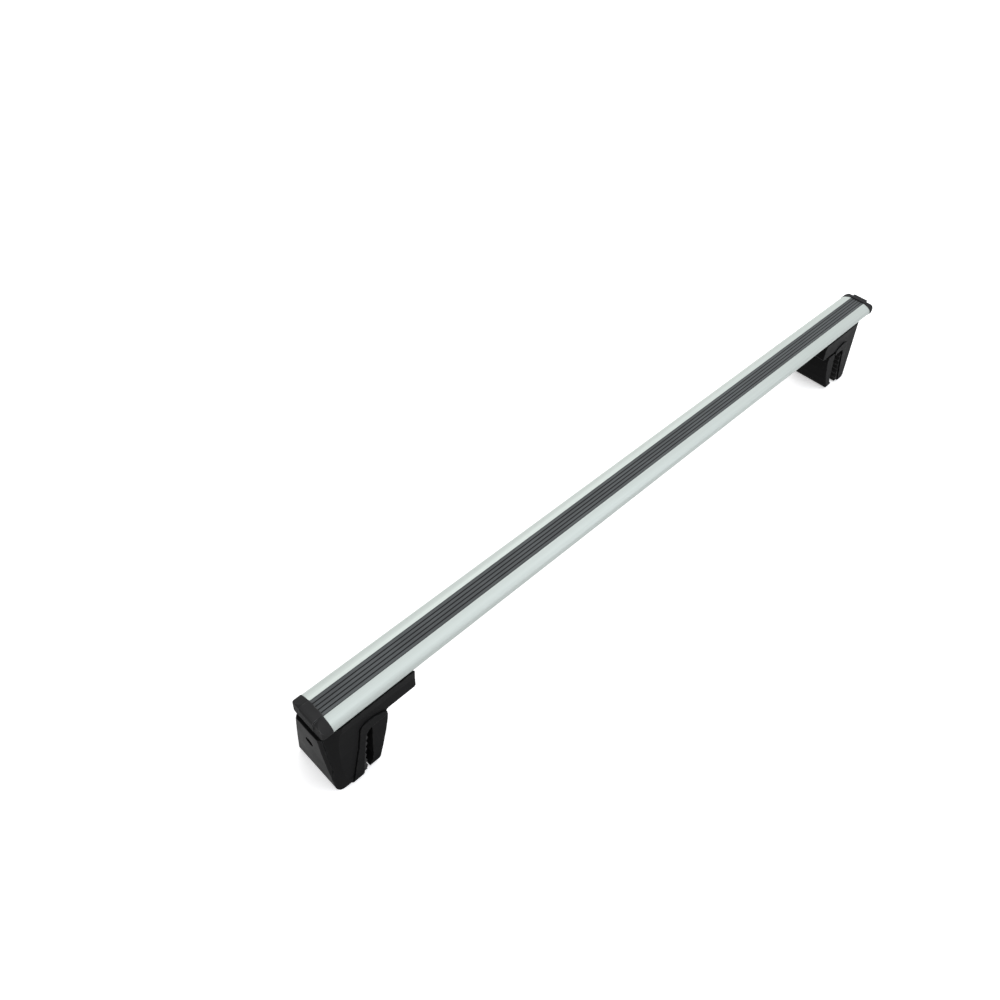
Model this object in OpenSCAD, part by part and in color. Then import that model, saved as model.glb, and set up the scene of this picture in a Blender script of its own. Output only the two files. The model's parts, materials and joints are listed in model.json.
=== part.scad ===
/* [Bar] */
// Length of the aluminium bar, from end cap to end cap
bar_len = 1200; // [1000:10:1400]
// Width of the wing section
bar_w = 58; // [56:1:62]
// Height of the wing section
bar_h = 24; // [24:0.5:26]
// Depth of the widest line below the top of the bar
nose_drop = 10.2; // [9.8:0.2:10.8]
// Wall thickness of the wing section
wall = 1.8; // [1.5:0.1:2.1]
// Half width of the flat on top of the section
flat_top = 13; // [12.8:0.2:14]
// Half width of the flat under the section
flat_low = 11; // [10.6:0.2:11.6]
// Height of the underside of the bar above the ground
bar_under = 106; // [100:1:114]

/* [Top slot] */
// Width of the opening of the top slot
slot_open = 20; // [18:0.5:21]
// Inside width of the top slot
slot_in = 27.6; // [26:0.2:28]
// Inside height of the top slot
slot_h = 6.4; // [5.8:0.2:6.6]
// Thickness of the lips of the top slot
slot_lip = 2.3; // [2:0.1:2.5]
// Depth of the recess the strip lies in
strip_sink = 2; // [1.8:0.1:2.2]
// Width of the rubber strip
strip_w = 24.6; // [24:0.1:24.8]
// Number of grooves along the strip
strip_grooves = 4; // [3:1:5]
// Width of each groove
groove_w = 1.5; // [1:0.1:1.8]
// Depth of each groove
groove_d = 1.1; // [0.8:0.1:1.2]

/* [Bottom channel] */
// Width of the opening of the bottom channel
low_open = 9; // [8:0.5:9.5]
// Inside width of the bottom channel
low_in = 18; // [17:0.5:18.5]
// Thickness of the lips of the bottom channel
low_lip = 2.4; // [2:0.1:2.6]
// Inside height of the bottom channel
low_h = 5.8; // [5.6:0.1:6]

/* [End caps] */
// Thickness of the rim of an end cap along the bar
cap_rim = 5; // [4:0.5:6]
// Length of an end cap outside the bar
cap_len = 14.5; // [12:0.5:15]
// How far the rim of an end cap stands over the bar
cap_over = 0.6; // [0.4:0.1:0.8]
// Height of the raised middle of an end cap over the strip
tab_up = 2.6; // [1.5:0.1:3]
// Length of the plugs inside the bar
cap_plug = 22; // [15:1:26]

/* [Feet] */
// Distance of the left foot from its outermost place
shift_left = 0; // [0:1:60]
// Distance of the right foot from its outermost place
shift_right = 32; // [0:1:90]
// Height of the saddle block under the bar
saddle_h = 21; // [21:0.5:24]
// Inner end of the saddle, from the end of the bar
saddle_end = 114; // [112:1:122]
// Half width of a foot at the bar
foot_top_half = 29.6; // [29.4:0.2:30.4]
// Half width of a foot at the ground
foot_low_half = 41.5; // [39:0.5:44]
// Height of the raised band around the rail notch
band_up = 1.7; // [1.2:0.1:2.2]
// Width of the shadow groove beside the band
band_groove = 1.5; // [1:0.1:2]
// Thickness of the rubber pad between foot and bar
saddle_pad_t = 1.2; // [1:0.1:1.5]

/* [Clamp] */
// Diameter of the clamp bolt
bolt_d = 8; // [7.6:0.1:8.2]
// Width across the flats of the socket in the clamp bolt
socket_af = 6; // [5:0.5:6]
// Height of the head of the clamp bolt
bolt_head_h = 8; // [7:0.5:8]
// Diameter of the head of the clamp bolt
bolt_head_d = 13; // [12:0.5:13]
// Travel of the claw along the saddle
claw_travel = 32; // [20:1:34]
// How far the left claw stands open
open_left = 0; // [0:1:14]
// How far the right claw stands open
open_right = 12; // [0:1:14]
// Side of the square nut in the claw
nut_side = 13; // [12:0.5:13]
// Thickness of the square nut
nut_t = 6.5; // [5:0.5:7]

/* [Lock cover] */
// Height of the axis of the clamp bolt over the axis of the lock
lock_drop = 13.5; // [13.5:0.5:17]
// Diameter of the lock barrel
barrel_d = 13; // [12:0.5:13.5]
// Diameter of the turning plug
plug_d = 9; // [8:0.5:9.5]
// Length of the key slot
key_l = 7; // [5:0.5:7.4]
// Width of the key slot
key_w = 2.2; // [1.4:0.1:2.6]
// Diameter of the hinge pin
pin_d = 4; // [3.4:0.1:4.4]
// Opening angle the cover has to pass
cover_open = 85; // [60:1:85]

/* [Fits] */
// Radial clearance of turning pieces
run_gap = 0.05; // [0.03:0.01:0.1]
// Clearance beside sliding pieces
slide_gap = 0.1; // [0.06:0.01:0.15]
// Clearance between the closed cover and the foot
cover_gap = 0.5; // [0.4:0.1:0.8]

/* [Hidden] */

top = bar_under + bar_h;
nose = top - nose_drop;
bar_half = bar_w / 2;
// Underside of the saddle block
zs = bar_under - saddle_h;
// Top of the opening the claw slides in, under the roof of the saddle
roof = bar_under - 8.5;
// Axis of the clamp bolt
zb = zs + 4;
lock_z = zb - lock_drop;
// Top of the rail notch
arch = zs - 8;
// Half width of the opening the claw slides in
well_half = 21;
well_in = 43;
well_out = saddle_end - 4;
// Half width of the pocket behind the cover
pocket_half = 17;
// Hinge axis of the lock cover
pin_u = -3;
pin_z = 14;
recess_r = 13;
// Depth of the cover, and its half width between the two ears of the foot
cover_t = 4.6;
cover_half = foot_low_half - 10.5;
cover_top = bar_under - 1.2;
// Large round corners between the outer face and the flanks of a foot
corner_r = 35;
corner_u = 9.5;
corner_lean = atan((foot_low_half - foot_top_half) / (bar_under - 6));
// Back wall of the pocket behind the cover
pocket_back = 0;
washer_t = 1.6;
clip_t = 1.2;
// Places of the two channel screws along the foot
screw_a = 56;
screw_b = 98;
screw_d = 6;
screw_head_d = 10.5;
screw_head_h = 3.2;
screw_seat = roof + 4.5;
nut_plate_t = 4;
nut_plate_l = 70;
arc_n = 14;
// Outermost point of the lock cover beyond the end of the bar
face_out = 16;
// Outer end of the lock barrel, sunk into the cover
barrel_face = 3.4 - face_out;
// Places the middle of the whole object over the origin
mid = (max(cap_len, face_out - shift_left) - max(cap_len, face_out - shift_right)) / 2;

// Outline of the wing section in the plane across the bar
module wing() {
  tu = acos(flat_top / bar_half);
  tl = acos(flat_low / bar_half);
  bu = nose_drop / sin(tu);
  bl = (bar_h - nose_drop) / sin(tl);
  upper = [for (i = [0 : arc_n]) let (t = tu * i / arc_n) [bar_half * cos(t), nose + bu * sin(t)]];
  lower = [for (i = [arc_n : -1 : 1]) let (t = tl * i / arc_n) [bar_half * cos(t), nose - bl * sin(t)]];
  upper_b = [for (i = [arc_n : -1 : 0]) let (t = tu * i / arc_n) [-bar_half * cos(t), nose + bu * sin(t)]];
  lower_b = [for (i = [1 : arc_n]) let (t = tl * i / arc_n) [-bar_half * cos(t), nose - bl * sin(t)]];
  polygon(concat(upper, upper_b, lower_b, lower));
}

// Hollow spaces beside the slots, shared by the bar and the plugs of the caps
module chambers() {
  for (s = [-1, 1]) {
    intersection() {
      offset(delta = -wall) wing();
      translate([s * (slot_in / 2 + wall + 15) - 15, bar_under - 5]) square([30, bar_h + 10]);
    }
  }
}

module mouth_low() {
  translate([-low_open / 2, bar_under - 1]) square([low_open, low_lip + 1.5]);
  translate([-low_in / 2, bar_under + low_lip]) square([low_in, low_h]);
}

module mouth_top() {
  translate([-strip_w / 2 - slide_gap, top - strip_sink]) square([strip_w + 2 * slide_gap, strip_sink + 1]);
  translate([-slot_open / 2, top - strip_sink - slot_lip - 1]) square([slot_open, strip_sink + slot_lip + 1.5]);
  translate([-slot_in / 2, top - strip_sink - slot_lip - slot_h]) square([slot_in, slot_h]);
}

// Draws a figure given across the bar, from one place along the bar to another
module along(x0, x1) {
  translate([x0, 0, 0]) rotate([90, 0, 90]) linear_extrude(height = x1 - x0) children();
}

// Draws a figure given in the upright plane of the bar, with a width across it
module across(w) {
  rotate([90, 0, 0]) linear_extrude(height = w, center = true) children();
}

module at_left() {
  translate([mid - bar_len / 2 + shift_left, 0, 0]) children();
}

module at_right() {
  translate([mid + bar_len / 2 - shift_right, 0, 0]) rotate([0, 0, 180]) children();
}

module rod(d, l) {
  rotate([0, 90, 0]) cylinder(d = d, h = l, $fn = 40);
}

module bar() {
  color("silver") along(mid - bar_len / 2, mid + bar_len / 2) difference() {
    wing();
    chambers();
    mouth_top();
    mouth_low();
  }
}

module strip() {
  pitch = strip_w / (strip_grooves + 1);
  leg_out = slot_open / 2 - slide_gap;
  lip_z = top - strip_sink - slot_lip - slide_gap;
  half = [[strip_w / 2, top], [strip_w / 2, top - strip_sink], [leg_out, top - strip_sink], [leg_out, lip_z],
    [leg_out + 1.8, lip_z - 0.6], [leg_out - 0.6, lip_z - 3.4], [leg_out - 2.4, lip_z - 3.4],
    [leg_out - 2.4, top - strip_sink]];
  other = [for (i = [len(half) - 1 : -1 : 0]) [-half[i][0], half[i][1]]];
  color("dimgray") along(mid - bar_len / 2, mid + bar_len / 2) difference() {
    polygon(concat(half, other));
    for (i = [1 : strip_grooves]) {
      translate([-strip_w / 2 + i * pitch - groove_w / 2, top - groove_d]) square([groove_w, groove_d + 1]);
    }
  }
}

// Wings of a cap: the section of the bar, drawn in towards the end both from above and from the side
module cap_wings() {
  tip = cap_len - 1.5;
  run = tip - cap_rim;
  wide = bar_half + cap_over;
  high = top - nose + cap_over;
  low = nose - bar_under + cap_over;
  draw = [[-1, 1.05], [cap_rim, 1.05], [cap_rim + 0.02 * run, 1], [cap_rim + 0.35 * run, 0.985],
    [cap_rim + 0.65 * run, 0.95], [cap_rim + 0.87 * run, 0.9], [tip + 0.1, 0.84]];
  back = [for (i = [len(draw) - 1 : -1 : 0]) draw[i]];
  intersection() {
    along(-tip, 0) offset(delta = cap_over) wing();
    translate([0, 0, bar_under - 5]) linear_extrude(height = bar_h + 10)
      polygon(concat([for (d = draw) [-d[0], d[1] * wide]], [for (d = back) [-d[0], -d[1] * wide]]));
    across(2 * wide + 4)
      polygon(concat([for (d = draw) [-d[0], nose + (1.8 * d[1] - 0.8) * high]],
        [for (d = back) [-d[0], nose - (1.8 * d[1] - 0.8) * low]]));
  }
}

module cap() {
  color("dimgray") union() {
    cap_wings();
    across(strip_w) polygon([[0, top + tab_up], [0, nose - 4], [-cap_len, nose - 4], [-cap_len, top - 1.4],
      [-cap_len + 0.5, top + 0.2], [-cap_len + 1.8, top + 1.7], [-cap_len + 3.6, top + tab_up - 0.15],
      [-cap_len + 5, top + tab_up]]);
    along(-0.5, cap_plug) chambers();
  }
}

module cap_left() {
  translate([mid - bar_len / 2, 0, 0]) cap();
}

module cap_right() {
  translate([mid + bar_len / 2, 0, 0]) rotate([0, 0, 180]) cap();
}

// Half widths of a foot from the bar down to the ground
function side_line(e) = [
  [foot_top_half + e, bar_under + 8.4],
  [foot_top_half + 0.2 + e, bar_under - 4],
  [foot_top_half + 0.14 * (foot_low_half - foot_top_half) + e, zs],
  [foot_top_half + 0.34 * (foot_low_half - foot_top_half) + e, zs * 0.72],
  [foot_top_half + 0.60 * (foot_low_half - foot_top_half) + e, zs * 0.42],
  [foot_top_half + 0.86 * (foot_low_half - foot_top_half) + e, zs * 0.18],
  [foot_low_half + e, zs * 0.085],
  [foot_low_half - 0.5 + e, zs * 0.045],
  [foot_low_half - 2 + e, zs * 0.014],
  [foot_low_half - 4.4 + e, 0]];

module side_shape(e) {
  right = side_line(e);
  left = [for (i = [len(right) - 1 : -1 : 0]) [-right[i][0], right[i][1]]];
  polygon(concat(right, left));
}

// Outer face of a foot and its cover, from the bar down to the ground
function face(e) = [[-face_out + e, bar_under + 2], [0.4 - face_out + e, zs * 1.08],
  [0.8 - face_out + e, zs * 0.92], [1.5 - face_out + e, zs * 0.75], [2.4 - face_out + e, zs * 0.56],
  [3.5 - face_out + e, zs * 0.36], [4.3 - face_out + e, zs * 0.2], [4.8 - face_out + e, zs * 0.1]];

// Everything in front of the joint between a foot and its cover
module front_zone(e) {
  polygon(concat([[-60, bar_under + 20], [-face_out + e, bar_under + 20]], face(e),
    [[5.2 - face_out + e, -5], [-60, -5]]));
}

// Outline of a foot with its cover, seen from the side of the bar
module foot_outline() {
  polygon(concat([[2.4 - face_out, bar_under + 8.4], [0.8 - face_out, bar_under + 6]], face(0),
    [[5.6 - face_out, zs * 0.05], [-8.6, zs * 0.02], [-6, zs * 0.004], [-3.6, 0],
    [18.4, 0], [21, zs * 0.008], [23.2, zs * 0.03], [24.6, zs * 0.07], [27, zs * 0.2], [30.4, zs * 0.4],
    [34, zs * 0.6], [37.6, arch - 8], [39, arch - 4.6], [41.4, arch - 1.8], [45, arch - 0.3], [48, arch],
    [66, arch], [68, arch + 0.8], [69, arch + 2.6], [69.6, zs - 2.6], [70.6, zs - 0.8], [72.6, zs],
    [saddle_end - 2, zs], [saddle_end, zs + 2], [saddle_end, bar_under + 8.4]]));
}

module corner_side(e) {
  translate([corner_u, corner_r - foot_top_half - 0.4, bar_under - 6]) rotate([-corner_lean, 0, 0])
    translate([0, 0, -130]) union() {
      cylinder(r = corner_r + e, h = 170, $fn = 96);
      translate([0, -100, 0]) cube([220, 200, 170]);
      translate([-80, 0, 0]) cube([300, 100, 170]);
    }
}

// The band that runs around the rail notch
module band_outline(e) {
  polygon([[8 - e, 0], [14.6 - e, zs * 0.22], [21 - e, zs * 0.46], [26.4 - e, zs * 0.68],
    [29.6 - e, zs * 0.88], [31.4 - e * 0.9, zs + e * 0.4], [34.6 - e * 0.6, zs + 3.6 + e * 0.8],
    [40 - e * 0.2, zs + 6 + e], [47, zs + 6.4 + e], [56 + e * 0.1, zs + 4.6 + e],
    [64 + e * 0.3, zs + 1.6 + e * 0.9], [69.6 + e * 0.4, zs - 2.6],
    [69, arch + 2.6], [68, arch + 0.8], [66, arch], [48, arch], [45, arch - 0.3],
    [41.4, arch - 1.8], [39, arch - 4.6], [37.6, arch - 8], [34, zs * 0.6], [30.4, zs * 0.4],
    [27, zs * 0.2], [24.6, zs * 0.07], [23.2, zs * 0.03], [21, zs * 0.008], [18.4, 0]]);
}

module foot_solid(e) {
  intersection() {
    across(120) foot_outline();
    along(-30, saddle_end + 10) side_shape(e);
    corner_side(e);
    mirror([0, 1, 0]) corner_side(e);
  }
}

module foot() {
  color("#1c1c1e") difference() {
    union() {
      difference() {
        foot_solid(0);
        difference() {
          across(120) difference() {
            band_outline(band_groove);
            band_outline(0);
          }
          along(-30, saddle_end + 10) side_shape(-1.3);
        }
      }
      intersection() {
        across(120) band_outline(0);
        along(-30, saddle_end + 10) side_shape(band_up);
        corner_side(band_up);
        mirror([0, 1, 0]) corner_side(band_up);
        translate([-20, -60, -1]) cube([saddle_end + 20, 120, bar_under - 2]);
      }
      translate([6, -low_open / 2 + slide_gap, bar_under - 3])
        cube([saddle_end - 10, low_open - 2 * slide_gap, 3 + low_lip - slide_gap]);
    }
    difference() {
      along(0.4, saddle_end + 1) offset(delta = saddle_pad_t + run_gap) wing();
      translate([6, -low_open / 2 + slide_gap, bar_under - 3])
        cube([saddle_end - 10, low_open - 2 * slide_gap, 3 + low_lip - slide_gap]);
    }
    along(-31, 0.5) offset(delta = cap_over + 0.5) wing();
    translate([well_in, -well_half, -1]) cube([well_out - well_in, 2 * well_half, roof + 1]);
    translate([well_in, -well_half - 3.1, zb - 2]) cube([well_out - well_in, 2 * well_half + 6.2, 4]);
    across(2 * (cover_half + cover_gap)) front_zone(cover_t);
    translate([-25, -pocket_half, pin_z + 6]) cube([25 + pocket_back, 2 * pocket_half, bar_under - pin_z - 10]);
    rotate([90, 0, 0]) translate([pin_u, pin_z, -cover_half - cover_gap])
      cylinder(r = recess_r, h = 2 * (cover_half + cover_gap), $fn = 64);
    translate([-25, -cover_half - cover_gap, -1]) cube([25 + pin_u, 2 * (cover_half + cover_gap), pin_z + 14]);
    translate([-30, 0, zb]) rod(bolt_d + 2 * run_gap, 80);
    rotate([90, 0, 0]) translate([pin_u, pin_z, -cover_half - 4]) cylinder(d = pin_d, h = 2 * cover_half + 8, $fn = 40);
    for (u = [screw_a, screw_b]) {
      translate([u, 0, roof - 1]) cylinder(d = screw_head_d + 1, h = 1 + screw_seat - roof, $fn = 40);
      translate([u, 0, roof - 1]) cylinder(d = screw_d, h = 20, $fn = 40);
    }
  }
  color("#1c1c1e") for (s = [-1, 1]) {
    translate([-8.8, s > 0 ? 9 : -pocket_half, lock_z - 11]) cube([2.3, pocket_half - 9, 22]);
  }
}

module saddle_pad() {
  color("#2a2a2a") difference() {
    intersection() {
      along(2, saddle_end - 1) difference() {
        offset(delta = saddle_pad_t + run_gap) wing();
        offset(delta = run_gap) wing();
      }
      translate([0, -26, bar_under - 5]) cube([saddle_end, 52, 11.4]);
    }
    translate([6, -low_open / 2 + slide_gap, bar_under - 6])
      cube([saddle_end - 10, low_open - 2 * slide_gap, 10]);
  }
}

// Rubber pad on the outer wall of the rail notch, with grip teeth
module rail_pad() {
  function edge(f) = f < 0.2 ? 24.6 + (f - 0.07) / 0.13 * 2.4
    : f < 0.4 ? 27 + (f - 0.2) / 0.2 * 3.4
    : f < 0.6 ? 30.4 + (f - 0.4) / 0.2 * 3.6 : 34 + (f - 0.6) * 3.6 / ((arch - 8) / zs - 0.6);
  function thick(f) = f < 0.36 ? 7.6 - (f - 0.07) / 0.29 * 3.2 : 4.4;
  f0 = 0.075;
  f1 = 0.76;
  n = 6;
  back = [for (f = [f0, 0.2, 0.4, 0.6, f1]) [edge(f), zs * f]];
  teeth = [for (i = [n - 1 : -1 : 0]) for (k = [0 : 2]) let (f = f0 + (f1 - f0) * (i + [0.95, 0.5, 0.05][k]) / n)
    [edge(f) + thick(f) - [2, 0, 2][k], zs * f]];
  color("#2a2a2a") intersection() {
    across(120) polygon(concat(back, teeth, [[edge(f0) + thick(f0) - 0.6, zs * 0.035],
      [edge(f0) + 4, zs * 0.02], [23.3, zs * 0.031]]));
    along(0, 80) side_shape(-0.9);
  }
}

module channel_nut() {
  color("#b8b8b4") difference() {
    translate([(screw_a + screw_b) / 2 - nut_plate_l / 2, -low_in / 2 + slide_gap, bar_under + low_lip + 0.05])
      cube([nut_plate_l, low_in - 2 * slide_gap, nut_plate_t]);
    for (u = [screw_a, screw_b]) {
      translate([u, 0, bar_under - 1]) cylinder(d = screw_d, h = 20, $fn = 40);
    }
  }
}

module channel_screws() {
  color("#b8b8b4") for (u = [screw_a, screw_b]) translate([u, 0, 0]) difference() {
    union() {
      translate([0, 0, screw_seat - 0.1])
        cylinder(d = screw_d, h = bar_under + low_lip + nut_plate_t + 0.05 - screw_seat, $fn = 40);
      translate([0, 0, screw_seat - screw_head_h + 1.2])
        cylinder(d = screw_head_d, h = screw_head_h - 1.2, $fn = 40);
      translate([0, 0, screw_seat - screw_head_h])
        cylinder(d1 = screw_head_d - 3, d2 = screw_head_d, h = 1.2, $fn = 40);
    }
    translate([0, 0, screw_seat - screw_head_h - 1]) cylinder(d = 4.6, h = 3, $fn = 6);
  }
}

module lock_bore(d, u0, u1) {
  translate([u0, 0, lock_z]) rod(d, u1 - u0);
}

module cover() {
  color("#202022") difference() {
    union() {
      difference() {
        intersection() {
          foot_solid(0);
          across(2 * cover_half) front_zone(cover_t - cover_gap);
          translate([-30, -60, zs * 0.06]) cube([60, 120, cover_top - zs * 0.06]);
        }
        intersection() {
          translate([2.6, 0, 0]) foot_solid(-2.4);
          translate([-30, -cover_half + 2.4, zs * 0.12]) cube([60, 2 * cover_half - 4.8, cover_top - 2.4 - zs * 0.12]);
        }
      }
      lock_bore(barrel_d + 4, 2.2 - face_out, -11.4);
      for (s = [-1, 1]) translate([0, s * (cover_half - 5), 0]) {
        rotate([90, 0, 0]) translate([pin_u, pin_z, -3.5]) cylinder(d = pin_d + 5, h = 7, $fn = 40);
        across(7) polygon([[pin_u, pin_z + 4.5], [-8.6, pin_z + 7.4], [-10.8, pin_z + 7.4], [-10, pin_z - 6],
          [-8.2, pin_z - 6.6], [pin_u, pin_z - 4.5]]);
      }
    }
    lock_bore(barrel_d, -25, 0);
    rotate([90, 0, 0]) translate([pin_u, pin_z, -40]) cylinder(d = pin_d + 2 * run_gap, h = 80, $fn = 40);
  }
}

module hinge_pin() {
  color("#b8b8b4") rotate([90, 0, 0]) translate([pin_u, pin_z, -cover_half - 3.5])
    cylinder(d = pin_d, h = 2 * cover_half + 7, $fn = 40);
}

module lock_barrel() {
  color("#343436") difference() {
    union() {
      lock_bore(barrel_d, barrel_face, -9.8);
      lock_bore(barrel_d + 2, -11.4, -10.4);
    }
    lock_bore(plug_d + 2 * run_gap, -30, 0);
  }
}

module lock_plug() {
  color("#4a4a4c") difference() {
    union() {
      lock_bore(plug_d, barrel_face, -9.2);
      lock_bore(plug_d - 3, -9.3, -3.4);
    }
    translate([-25, -key_l / 2, lock_z - key_w / 2]) cube([25 + barrel_face + 2.6, key_l, key_w]);
    lock_bore(2.4, -8, 0);
  }
}

module lock_cam() {
  color("#b8b8b4") difference() {
    union() {
      lock_bore(11, -5.8, -3.6);
      translate([-5.8, -3.6, lock_z - 14.5]) cube([2.2, 7.2, 14.5]);
    }
    lock_bore(plug_d - 3, -10, 0);
  }
}

module cam_screw() {
  color("#b8b8b4") difference() {
    union() {
      lock_bore(2.4, -8, -3.3);
      lock_bore(7.4, -3.4, -1.6);
    }
    translate([-2.2, -2.8, lock_z - 0.5]) cube([1, 5.6, 1]);
  }
}

module clamp_bolt() {
  tip = 70 + claw_travel + 4;
  color("#b8b8b4") difference() {
    union() {
      translate([pocket_back - washer_t - bolt_head_h, 0, zb]) rod(bolt_head_d, bolt_head_h);
      translate([pocket_back - washer_t - 0.5, 0, zb]) rod(bolt_d, tip - pocket_back + washer_t);
    }
    translate([pocket_back - washer_t - bolt_head_h - 1, 0, zb]) rotate([0, 90, 0])
      cylinder(d = socket_af / cos(30), h = 6, $fn = 6);
  }
}

module bolt_washer() {
  color("#b8b8b4") translate([pocket_back - washer_t, 0, zb]) difference() {
    rod(16, washer_t);
    translate([-1, 0, 0]) rod(bolt_d + 2 * run_gap, washer_t + 2);
  }
}

module bolt_clip() {
  color("#8c8c88") translate([well_in + slide_gap, 0, zb]) difference() {
    rod(14, clip_t);
    translate([-1, 0, 0]) rod(bolt_d, clip_t + 2);
  }
}

// Side outline of the claw below the saddle
module claw_outline() {
  polygon([[48, arch - 1], [69.4, arch - 1], [71.4, arch - 2.2], [72, arch - 5], [70.8, zs * 0.74],
    [66, zs * 0.52], [58.6, zs * 0.27], [52.4, zs * 0.1], [48.8, zs * 0.025], [45, 0.6], [38.4, 0.6],
    [36, zs * 0.03], [35.6, zs * 0.07], [37.2, zs * 0.1], [41, zs * 0.14], [43.4, zs * 0.22],
    [45, zs * 0.4], [47, zs * 0.62], [48.6, zs * 0.78], [48.4, arch - 4]]);
}

module claw() {
  neck_in = 47;
  neck_out = 69;
  color("#262628") difference() {
    union() {
      intersection() {
        across(120) claw_outline();
        along(20, 90) side_shape(-1.6);
      }
      translate([neck_in, -well_half + slide_gap, arch - 6])
        cube([neck_out - neck_in, 2 * (well_half - slide_gap), roof - slide_gap - arch + 6]);
      translate([neck_in, -well_half - 3, zb - 2 + slide_gap])
        cube([neck_out - neck_in, 2 * well_half + 6, 4 - 2 * slide_gap]);
    }
    translate([neck_in - 1, 0, zb]) rod(bolt_d + 1, neck_out - neck_in + 2);
    translate([neck_in + 8, -nut_side / 2, zb - nut_side / 2]) cube([nut_t, nut_side, 30]);
    for (s = [-1, 1]) {
      translate([neck_in + 2.5, s > 0 ? 10 : -well_half + 3, zb - 9])
        cube([neck_out - neck_in - 5, well_half - 13, 30]);
    }
    across(40) claw_pad_outline();
  }
}

module claw_pad_outline() {
  polygon([[45 + 2, zs * 0.3], [48.6 + 0.6, zs * 0.62], [50.2, zs * 0.7], [46.3, zs * 0.7],
    [44.6, zs * 0.6], [42.7, zs * 0.4], [41.9, zs * 0.3]]);
}

module claw_pad() {
  color("#2a2a2a") across(40) claw_pad_outline();
}

module claw_nut() {
  color("#b8b8b4") difference() {
    translate([55, -nut_side / 2, zb - nut_side / 2]) cube([nut_t, nut_side, nut_side]);
    translate([50, 0, zb]) rod(bolt_d + 2 * run_gap, 20);
  }
}

module foot_left() { at_left() foot(); }
module saddle_pad_left() { at_left() saddle_pad(); }
module rail_pad_left() { at_left() rail_pad(); }
module channel_nut_left() { at_left() channel_nut(); }
module channel_screws_left() { at_left() channel_screws(); }
module cover_left() { at_left() cover(); }
module hinge_pin_left() { at_left() hinge_pin(); }
module lock_barrel_left() { at_left() lock_barrel(); }
module lock_plug_left() { at_left() lock_plug(); }
module lock_cam_left() { at_left() lock_cam(); }
module cam_screw_left() { at_left() cam_screw(); }
module clamp_bolt_left() { at_left() clamp_bolt(); }
module bolt_washer_left() { at_left() bolt_washer(); }
module bolt_clip_left() { at_left() bolt_clip(); }
module claw_left() { at_left() translate([open_left, 0, 0]) claw(); }
module claw_nut_left() { at_left() translate([open_left, 0, 0]) claw_nut(); }
module claw_pad_left() { at_left() translate([open_left, 0, 0]) claw_pad(); }

module foot_right() { at_right() foot(); }
module saddle_pad_right() { at_right() saddle_pad(); }
module rail_pad_right() { at_right() rail_pad(); }
module channel_nut_right() { at_right() channel_nut(); }
module channel_screws_right() { at_right() channel_screws(); }
module cover_right() { at_right() cover(); }
module hinge_pin_right() { at_right() hinge_pin(); }
module lock_barrel_right() { at_right() lock_barrel(); }
module lock_plug_right() { at_right() lock_plug(); }
module lock_cam_right() { at_right() lock_cam(); }
module cam_screw_right() { at_right() cam_screw(); }
module clamp_bolt_right() { at_right() clamp_bolt(); }
module bolt_washer_right() { at_right() bolt_washer(); }
module bolt_clip_right() { at_right() bolt_clip(); }
module claw_right() { at_right() translate([open_right, 0, 0]) claw(); }
module claw_nut_right() { at_right() translate([open_right, 0, 0]) claw_nut(); }
module claw_pad_right() { at_right() translate([open_right, 0, 0]) claw_pad(); }

bar();
strip();
cap_left();
cap_right();
foot_left();
saddle_pad_left();
rail_pad_left();
channel_nut_left();
channel_screws_left();
cover_left();
hinge_pin_left();
lock_barrel_left();
lock_plug_left();
lock_cam_left();
cam_screw_left();
clamp_bolt_left();
bolt_washer_left();
bolt_clip_left();
claw_left();
claw_nut_left();
claw_pad_left();
foot_right();
saddle_pad_right();
rail_pad_right();
channel_nut_right();
channel_screws_right();
cover_right();
hinge_pin_right();
lock_barrel_right();
lock_plug_right();
lock_cam_right();
cam_screw_right();
clamp_bolt_right();
bolt_washer_right();
bolt_clip_right();
claw_right();
claw_nut_right();
claw_pad_right();
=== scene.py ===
"""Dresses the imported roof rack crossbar: materials, clamp bolts, floor, studio light and camera.

All lengths are in metres. The bar lies along X with the near foot at its -X end, and Z is up.
"""

import json
import math

import bmesh
import bpy
from mathutils import Matrix, Quaternion, Vector


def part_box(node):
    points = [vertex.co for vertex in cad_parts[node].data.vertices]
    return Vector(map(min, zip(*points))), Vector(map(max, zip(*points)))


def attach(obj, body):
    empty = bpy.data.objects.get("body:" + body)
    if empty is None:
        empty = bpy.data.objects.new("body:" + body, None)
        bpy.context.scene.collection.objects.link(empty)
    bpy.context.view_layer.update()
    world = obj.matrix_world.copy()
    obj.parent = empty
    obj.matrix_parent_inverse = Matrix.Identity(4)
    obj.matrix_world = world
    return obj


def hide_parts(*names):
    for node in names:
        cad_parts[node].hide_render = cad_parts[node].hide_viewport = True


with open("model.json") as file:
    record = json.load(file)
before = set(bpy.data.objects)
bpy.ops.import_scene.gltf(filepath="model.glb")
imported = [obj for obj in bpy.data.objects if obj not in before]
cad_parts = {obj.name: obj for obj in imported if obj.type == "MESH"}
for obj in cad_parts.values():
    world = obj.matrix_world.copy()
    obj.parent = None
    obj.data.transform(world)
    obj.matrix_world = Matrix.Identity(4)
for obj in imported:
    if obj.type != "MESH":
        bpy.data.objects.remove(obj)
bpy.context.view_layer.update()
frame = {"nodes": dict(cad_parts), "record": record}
nodes = frame["nodes"]


# Camera, fitted to the ends of the bar in the photograph
CAMERA_AT = (-0.82701, -0.41460, 0.96066)
CAMERA_TURN = (0.86389324, 0.32297924, -0.17268948, -0.34576180)
LENS_MM = 30.6
SENSOR_MM = 36.0

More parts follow.
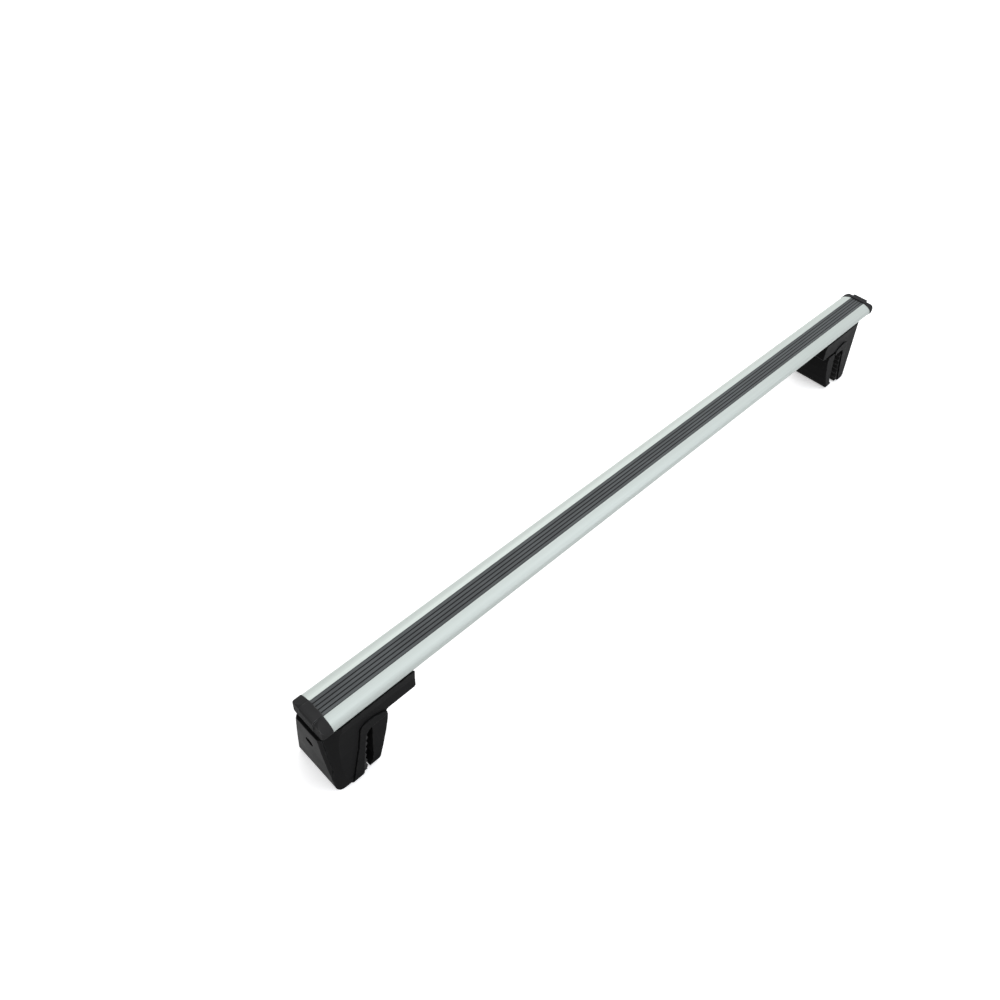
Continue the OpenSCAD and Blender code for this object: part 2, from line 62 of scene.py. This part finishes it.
camera = bpy.data.objects.new("camera", bpy.data.cameras.new("camera"))
bpy.context.scene.collection.objects.link(camera)
camera.data.sensor_width = SENSOR_MM
camera.data.lens = LENS_MM
camera.data.clip_start = 0.01
camera.data.clip_end = 100.0
turned = Quaternion(CAMERA_TURN).to_matrix().to_4x4()
camera.matrix_world = Matrix.Translation(Vector(CAMERA_AT)) @ turned
bpy.context.scene.camera = camera


class Shade:
    """A node material with short names for the nodes that the finishes share."""

    def __init__(self, name):
        self.mat = bpy.data.materials.new(name)
        self.mat.use_nodes = True
        self.tree = self.mat.node_tree
        self.tree.nodes.clear()
        out = self.add("ShaderNodeOutputMaterial")
        self.bsdf = self.add("ShaderNodeBsdfPrincipled")
        self.link(self.bsdf.outputs["BSDF"], out.inputs["Surface"])
        self.coord = self.add("ShaderNodeTexCoord")

    def add(self, kind, **values):
        node = self.tree.nodes.new(kind)
        for key, value in values.items():
            setattr(node, key, value)
        return node

    def link(self, a, b):
        self.tree.links.new(a, b)

    def put(self, target, value):
        """Feeds a socket: an output is linked to it, anything else becomes its own value."""
        if hasattr(value, "is_output"):
            self.link(value, target)
        else:
            target.default_value = value

    def place(self, axis):
        """Where a point lies on the object along X, Y or Z."""
        node = self.add("ShaderNodeSeparateXYZ")
        self.link(self.coord.outputs["Object"], node.inputs[0])
        return node.outputs[axis]

    def noise(self, scale, stretch=(1, 1, 1), detail=3.0, rough=0.5):
        """Noise in the object's coordinates, drawn out along each axis whose stretch is below 1."""
        mapping = self.add("ShaderNodeMapping")
        self.link(self.coord.outputs["Object"], mapping.inputs["Vector"])
        mapping.inputs["Scale"].default_value = stretch
        node = self.add("ShaderNodeTexNoise")
        self.link(mapping.outputs["Vector"], node.inputs["Vector"])
        node.inputs["Scale"].default_value = scale
        node.inputs["Detail"].default_value = detail
        node.inputs["Roughness"].default_value = rough
        return node.outputs["Fac"]

    def ramp(self, fac, low, high, a, b):
        """Maps fac from low..high to a..b, clamped."""
        node = self.add("ShaderNodeMapRange")
        self.put(node.inputs["Value"], fac)
        node.inputs["From Min"].default_value = low
        node.inputs["From Max"].default_value = high
        node.inputs["To Min"].default_value = a
        node.inputs["To Max"].default_value = b
        return node.outputs["Result"]

    def mix(self, fac, a, b):
        """Colour a where fac is 0 and colour b where it is 1."""
        node = self.add("ShaderNodeMix", data_type="RGBA")
        self.put(node.inputs["Factor"], fac)
        self.put(node.inputs[6], a)
        self.put(node.inputs[7], b)
        return node.outputs[2]

    def math(self, op, a, b=0.0):
        node = self.add("ShaderNodeMath", operation=op)
        self.put(node.inputs[0], a)
        self.put(node.inputs[1], b)
        return node.outputs[0]

    def edge(self, radius):
        """A normal that rounds the edges by this radius."""
        node = self.add("ShaderNodeBevel", samples=6)
        node.inputs["Radius"].default_value = radius
        return node.outputs["Normal"]

    def bump(self, height, strength, distance, normal):
        """Fine relief on the surface, over the rounded normal."""
        node = self.add("ShaderNodeBump")
        self.link(height, node.inputs["Height"])
        node.inputs["Strength"].default_value = strength
        node.inputs["Distance"].default_value = distance
        self.link(normal, node.inputs["Normal"])
        self.link(node.outputs["Normal"], self.bsdf.inputs["Normal"])

    def wear_and_highlight_edge(self):
        """0 on flat faces, towards 1 on sharp outer edges, where the rounded normal turns away."""
        geometry = self.add("ShaderNodeNewGeometry")
        dot = self.add("ShaderNodeVectorMath", operation="DOT_PRODUCT")
        self.link(geometry.outputs["Normal"], dot.inputs[0])
        self.link(self.edge(WEAR_AND_HIGHLIGHT_WIDTH), dot.inputs[1])
        return self.ramp(dot.outputs["Value"], 0.995, 0.9, 0.0, 1.0)


def rgba(colour, times=1.0):
    return tuple(times * c for c in colour) + (1,)


# Wear and painted edge highlight on the mouldings: width of the paler edge, and the paler tone of it
WEAR_AND_HIGHLIGHT_WIDTH = 0.0016
WEAR_AND_HIGHLIGHT_TIMES = 3.0
WEAR_AND_HIGHLIGHT_PLUS = 0.022

# The bar: painted shade darkens its nose, starting at NOSE_Z and darkest at UNDER_Z, where shade falls
# under the bar
BAR_DEEP = (0.470, 0.513, 0.490)
BAR_PALE = (0.508, 0.552, 0.529)
BAR_DRAWN = (0.417, 0.458, 0.437)
# colour of the painted shade under the bar
BAR_PAINTED_SHADE = (0.330, 0.362, 0.346)
NOSE_Z = 0.1205
UNDER_Z = 0.1120

# The strip in the bar: height of its top and half of its width, which place the painted shade in its
# grooves and along its rims
STRIP_TOP = 0.130
STRIP_HALF = 0.0123


def anodised():
    """Satin anodised extrusion, slightly green-grey: fine draw lines along the bar, faint clouds,
    painted shade on its lower nose.
    """
    s = Shade("anodised")
    grain = s.noise(900.0, (0.02, 1.0, 1.0), 2.0, 0.6)
    lines = s.noise(260.0, (0.004, 1.0, 1.0), 4.0, 0.65)
    cloud = s.noise(9.0, (0.4, 1.0, 1.0), 3.0, 0.5)
    tone = s.mix(s.ramp(cloud, 0.3, 0.7, 0.0, 1.0), rgba(BAR_DEEP), rgba(BAR_PALE))
    drawn = s.mix(s.ramp(lines, 0.36, 0.64, 0.0, 0.5), tone, rgba(BAR_DRAWN))
    # painted shade: the colour darkens towards the bar's underside, below NOSE_Z
    painted_under_shade = s.ramp(s.place("Z"), NOSE_Z, UNDER_Z, 0.0, 0.6)
    s.put(s.bsdf.inputs["Base Color"], s.mix(painted_under_shade, drawn, rgba(BAR_PAINTED_SHADE)))
    s.bsdf.inputs["Metallic"].default_value = 0.42
    rough = s.math("ADD", s.ramp(grain, 0.3, 0.7, 0.0, 0.07), s.ramp(cloud, 0.3, 0.7, 0.36, 0.44))
    s.put(s.bsdf.inputs["Roughness"], rough)
    s.bsdf.inputs["Specular IOR Level"].default_value = 0.2
    s.bump(grain, 0.12, 0.0002, s.edge(0.0005))
    return s.mat


def plastic(name, colour, light, rough, level, grain=0.3, wear_and_highlight=0.7):
    """Moulded plastic: fine leather grain, faint clouds, edges a little smoother from wear and paler
    from wear and a painted edge highlight.
    """
    s = Shade(name)
    fine = s.noise(1400.0, (1, 1, 1), 3.0, 0.6)
    cloud = s.noise(28.0, (1, 1, 1), 4.0, 0.55)
    edge_wear_and_highlight = s.math("MULTIPLY", s.wear_and_highlight_edge(), s.ramp(s.noise(160.0), 0.4, 0.62, 0.15, 1.0))
    base = s.mix(s.ramp(cloud, 0.32, 0.68, 0.0, 1.0), rgba(colour), rgba(light))
    # the paler edge tone is partly wear and partly a painted highlight where light would catch the
    # edges
    wear_and_highlight_tone = tuple(WEAR_AND_HIGHLIGHT_TIMES * c + WEAR_AND_HIGHLIGHT_PLUS for c in light) + (1,)
    s.put(s.bsdf.inputs["Base Color"], s.mix(s.math("MULTIPLY", edge_wear_and_highlight, wear_and_highlight), base, wear_and_highlight_tone))
    matte = s.ramp(cloud, 0.3, 0.7, rough - 0.04, rough + 0.05)
    s.put(s.bsdf.inputs["Roughness"], s.math("SUBTRACT", matte, s.math("MULTIPLY", edge_wear_and_highlight, 0.1)))
    s.bsdf.inputs["Specular IOR Level"].default_value = level
    s.bump(fine, grain, 0.00012, s.edge(0.0011))
    return s.mat


def rubber(name, colour, light, top=None, half=None):
    """Matte rubber with a little dust.

    top darkens what lies below that height with painted shade, as in the grooves of the strip, and half
    darkens what lies further than that distance from the middle of the bar with painted shade, as on
    the strip's rims.
    """
    s = Shade(name)
    fine = s.noise(700.0, (0.25, 1, 1), 3.0, 0.6)
    dust = s.noise(40.0, (0.3, 1, 1), 5.0, 0.6)
    tone = s.mix(s.ramp(dust, 0.35, 0.7, 0.0, 1.0), rgba(colour), rgba(light))
    if top is not None:
        # painted shade in the grooves of the strip, below its top
        groove_painted_shade = s.ramp(s.place("Z"), top - 0.0004, top - 0.0001, 0.85, 0.0)
        tone = s.mix(groove_painted_shade, tone, rgba(colour, 0.12))
    if half is not None:
        # painted shade along the strip's rims, in the gap beside the aluminium
        rim_painted_shade = s.ramp(s.math("ABSOLUTE", s.place("Y")), half - 0.0012, half - 0.0004, 0.0, 0.8)
        tone = s.mix(rim_painted_shade, tone, rgba(colour, 0.25))
    s.put(s.bsdf.inputs["Base Color"], tone)
    s.put(s.bsdf.inputs["Roughness"], s.ramp(dust, 0.3, 0.7, 0.55, 0.68))
    s.bsdf.inputs["Specular IOR Level"].default_value = 0.25
    s.bump(fine, 0.25, 0.0001, s.edge(0.0004))
    return s.mat


def steel(name, colour, rough):
    """Zinc plated steel: cloudy passivation and fine turning marks."""
    s = Shade(name)
    turn = s.noise(600.0, (0.1, 1, 1), 2.0, 0.5)
    cloud = s.noise(120.0, (1, 1, 1), 4.0, 0.6)
    tone = s.mix(s.ramp(cloud, 0.3, 0.7, 0.0, 1.0), rgba(colour), rgba(colour, 0.86))
    s.put(s.bsdf.inputs["Base Color"], tone)
    s.bsdf.inputs["Metallic"].default_value = 1.0
    s.put(s.bsdf.inputs["Roughness"], s.ramp(cloud, 0.3, 0.7, rough, rough + 0.12))
    s.bump(turn, 0.15, 0.00008, s.edge(0.0004))
    return s.mat


FINISHES = {
    "anodised": anodised(),
    "strip_rubber": rubber(
        "strip_rubber", (0.056, 0.061, 0.063), (0.086, 0.093, 0.095), top=STRIP_TOP, half=STRIP_HALF
    ),
    "cap_plastic": plastic(
        "cap_plastic", (0.0250, 0.0250, 0.0255), (0.0330, 0.0330, 0.0335), rough=0.52, level=0.015
    ),
    "foot_plastic": plastic(
        "foot_plastic", (0.0052, 0.0053, 0.0054), (0.0072, 0.0073, 0.0075), rough=0.5, level=0.025
    ),
    "cover_plastic": plastic(
        "cover_plastic", (0.0056, 0.0056, 0.0057), (0.0078, 0.0079, 0.008), rough=0.48, level=0.03
    ),
    "claw_plastic": plastic(
        "claw_plastic", (0.0052, 0.0052, 0.0053), (0.0072, 0.0072, 0.0074), rough=0.52, level=0.025
    ),
    "pad_rubber": rubber("pad_rubber", (0.003, 0.003, 0.0032), (0.006, 0.006, 0.0064)),
    "zinc_steel": steel("zinc_steel", (0.62, 0.62, 0.60), rough=0.3),
    "bolt_steel": steel("bolt_steel", (0.58, 0.58, 0.56), rough=0.26),
    "lock_face": plastic(
        "lock_face", (0.0014, 0.0014, 0.0015), (0.0022, 0.0022, 0.0023),
        rough=0.45, level=0.02, grain=0.15, wear_and_highlight=0.15,
    ),
    "lock_metal": steel("lock_metal", (0.016, 0.016, 0.017), rough=0.45),
}

slots = {part["node"]: part["material_slot"] for part in frame["record"]["subparts"]}
for name, obj in nodes.items():
    finish = FINISHES[slots[name]]
    if not obj.material_slots:
        obj.data.materials.append(finish)
    for slot in obj.material_slots:
        slot.material = finish


# Clamp bolt, M8 by 1.25; every distance along it counts from the outer face of its head
PITCH = 0.00125
SHANK_R = 0.004
THREAD_DEEP = 0.00072
THREAD_FROM = 0.030
THREAD_FADE = 2 * PITCH
TIP_CHAMFER = 0.0008
RINGS_PER_TURN = 6
AROUND = 48
HEAD_H = 0.008
HEAD_EDGE = ((0.0, 0.0007), (0.0002, 0.0003), (0.0007, 0.0), (0.0010, 0.0))
KNURL_FROM = 0.0012
KNURL_TO = 0.0066
KNURL_DEEP = 0.00028
SOCKET_DEEP = 0.005
SOCKET_HALF = 0.003
SOCKET_MOUTH_R = SOCKET_HALF * 1.2
SOCKET_CHAMFER = 0.0004

TURN = [2 * math.pi * k / AROUND for k in range(AROUND)]


def circle(u, r):
    return [(u, r) for _ in TURN]


def hexagon(u, apothem):
    return [(u, apothem / math.cos((a % (math.pi / 3)) - math.pi / 6)) for a in TURN]


def knurl(u, r):
    return [(u, r - (KNURL_DEEP if k % 2 else 0.0)) for k in range(AROUND)]


def thread(length):
    """Rings from THREAD_FROM to the tip: the profile deepens over THREAD_FADE and ends in a chamfer."""
    rings = []
    steps = round((length - THREAD_FROM) / PITCH * RINGS_PER_TURN)
    for i in range(steps + 1):
        u = THREAD_FROM + (length - THREAD_FROM) * i / steps
        fade = min(1.0, (u - THREAD_FROM) / THREAD_FADE)
        crest = SHANK_R - max(0.0, u - (length - TIP_CHAMFER))
        ring = []
        for a in TURN:
            phase = (u / PITCH - a / (2 * math.pi)) % 1.0
            # 1 along the root of the thread, 0 on its crest, straight flanks between them
            flank = min(1.0, max(0.0, 1.25 - 2.5 * abs(phase - 0.5)))
            ring.append((u, min(crest, SHANK_R - fade * THREAD_DEEP * flank)))
        rings.append(ring)
    return rings


def clamp_bolt(side, inward):
    """The clamp bolt with its real thread, knurled head and socket, in place of the plain CAD bolt.

    Each ring holds a distance from the head's face and a radius for every angle in TURN. The rings run
    from the bottom of the socket over the head and along the shank to the tip. inward is the sign of X
    from head to tip, and the Y of each point turns with it, so that both threads are right-handed.
    """
    low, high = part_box("clamp_bolt_" + side)
    head_x = low[0] if inward > 0 else high[0]
    length = high[0] - low[0]
    axis_z = (low[2] + high[2]) / 2
    head_r = (high[2] - low[2]) / 2

    rings = [hexagon(SOCKET_DEEP, SOCKET_HALF), hexagon(SOCKET_CHAMFER, SOCKET_HALF)]
    rings += [circle(0.0, SOCKET_MOUTH_R)]
    rings += [circle(u, head_r - inset) for u, inset in HEAD_EDGE]
    rings += [knurl(KNURL_FROM, head_r), knurl(KNURL_TO, head_r)]
    rings += [circle(KNURL_TO + 0.0002, head_r), circle(HEAD_H, head_r)]
    rings += [circle(HEAD_H, SHANK_R), circle(THREAD_FROM - 0.0002, SHANK_R)]
    rings += thread(length)

    verts = [
        (head_x + inward * u, inward * r * math.sin(a), axis_z + r * math.cos(a))
        for ring in rings
        for (u, r), a in zip(ring, TURN)
    ]
    socket_floor, tip = len(verts), len(verts) + 1
    verts += [(head_x + inward * SOCKET_DEEP, 0, axis_z), (head_x + inward * length, 0, axis_z)]
    last_ring = (len(rings) - 1) * AROUND
    faces = []
    for start in range(0, last_ring, AROUND):
        for k in range(AROUND):
            m = (k + 1) % AROUND
            faces.append((start + k, start + m, start + AROUND + m, start + AROUND + k))
    for k in range(AROUND):
        m = (k + 1) % AROUND
        faces.append((socket_floor, m, k))
        faces.append((tip, last_ring + k, last_ring + m))
    mesh = bpy.data.meshes.new("threaded_bolt_" + side)
    mesh.from_pydata(verts, [], faces)
    shape = bmesh.new()
    shape.from_mesh(mesh)
    bmesh.ops.recalc_face_normals(shape, faces=shape.faces)
    shape.to_mesh(mesh)
    shape.free()
    mesh.shade_smooth()
    mesh.set_sharp_from_angle(angle=math.radians(24))
    mesh.materials.append(FINISHES["bolt_steel"])
    bolt = bpy.data.objects.new("threaded_bolt_" + side, mesh)
    bpy.context.scene.collection.objects.link(bolt)
    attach(bolt, "bolt_" + side)
    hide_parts("clamp_bolt_" + side)


clamp_bolt("left", 1)
clamp_bolt("right", -1)


# Ground and backdrop: the light that they throw on the object, and the paler tone that is seen
FLOOR_THROWN = (0.38, 0.38, 0.38, 1)
FLOOR_SEEN = (0.88, 0.88, 0.88, 1)
FLOOR_LIFT = 0.42
FLOOR_HALF = 30.0
WORLD_THROWN = 0.62
WORLD_SEEN = 1.0


def seen_directly(tree):
    """1 for rays from the camera and for mirrored or refracted rays, 0 for the light on the object."""
    path = tree.nodes.new("ShaderNodeLightPath")
    total = path.outputs["Is Camera Ray"]
    for kind in ("Is Glossy Ray", "Is Transmission Ray"):
        both = tree.nodes.new("ShaderNodeMath")
        both.operation = "MAXIMUM"
        tree.links.new(total, both.inputs[0])
        tree.links.new(path.outputs[kind], both.inputs[1])
        total = both.outputs[0]
    return total


def floor_material():
    """Plain pale ground that keeps the object's shadow, lifted towards white where it is seen."""
    mat = bpy.data.materials.new("floor")
    mat.use_nodes = True
    tree = mat.node_tree
    bsdf = tree.nodes["Principled BSDF"]
    bsdf.inputs["Roughness"].default_value = 0.8
    bsdf.inputs["Specular IOR Level"].default_value = 0.1
    seen = seen_directly(tree)
    tone = tree.nodes.new("ShaderNodeMix")
    tone.data_type = "RGBA"
    tone.inputs[6].default_value = FLOOR_THROWN
    tone.inputs[7].default_value = FLOOR_SEEN
    tree.links.new(seen, tone.inputs["Factor"])
    tree.links.new(tone.outputs[2], bsdf.inputs["Base Color"])
    glow = tree.nodes.new("ShaderNodeMath")
    glow.operation = "MULTIPLY"
    glow.inputs[1].default_value = FLOOR_LIFT
    tree.links.new(seen, glow.inputs[0])
    bsdf.inputs["Emission Color"].default_value = (1, 1, 1, 1)
    tree.links.new(glow.outputs[0], bsdf.inputs["Emission Strength"])
    return mat


floor_mesh = bpy.data.meshes.new("floor")
corners = [(x * FLOOR_HALF, y * FLOOR_HALF, 0) for x, y in ((-1, -1), (1, -1), (1, 1), (-1, 1))]
floor_mesh.from_pydata(corners, [], [(0, 1, 2, 3)])
floor = bpy.data.objects.new("floor", floor_mesh)
bpy.context.scene.collection.objects.link(floor)
floor_mesh.materials.append(floor_material())


def area(name, at, towards, size, power, tint):
    """A rectangular softbox at a point, facing another."""
    lamp = bpy.data.lights.new(name, "AREA")
    lamp.shape = "RECTANGLE"
    lamp.size, lamp.size_y = size
    lamp.energy = power
    lamp.color = tint
    obj = bpy.data.objects.new(name, lamp)
    obj.location = at
    obj.rotation_euler = (Vector(towards) - Vector(at)).to_track_quat("-Z", "Y").to_euler()
    bpy.context.scene.collection.objects.link(obj)


area("key", (0.4, -1.1, 2.7), (0.3, 0, 0.08), (4.6, 2.0), 37.0, (0.97, 0.99, 1.045))
area("fill", (1.5, -1.9, 1.7), (0.1, 0, 0.08), (1.8, 1.4), 10.0, (0.95, 0.985, 1.06))
area("back", (1.0, 2.0, 2.2), (0.2, 0, 0.1), (3.4, 1.4), 40.0, (1.0, 1.0, 0.985))

world = bpy.data.worlds.new("studio")
bpy.context.scene.world = world
world.use_nodes = True
background = world.node_tree.nodes["Background"]
background.inputs["Color"].default_value = (1.0, 1.0, 1.0, 1)
level = world.node_tree.nodes.new("ShaderNodeMapRange")
world.node_tree.links.new(seen_directly(world.node_tree), level.inputs["Value"])
level.inputs["To Min"].default_value = WORLD_THROWN
level.inputs["To Max"].default_value = WORLD_SEEN
world.node_tree.links.new(level.outputs["Result"], background.inputs["Strength"])

bpy.context.scene.view_settings.view_transform = "Standard"
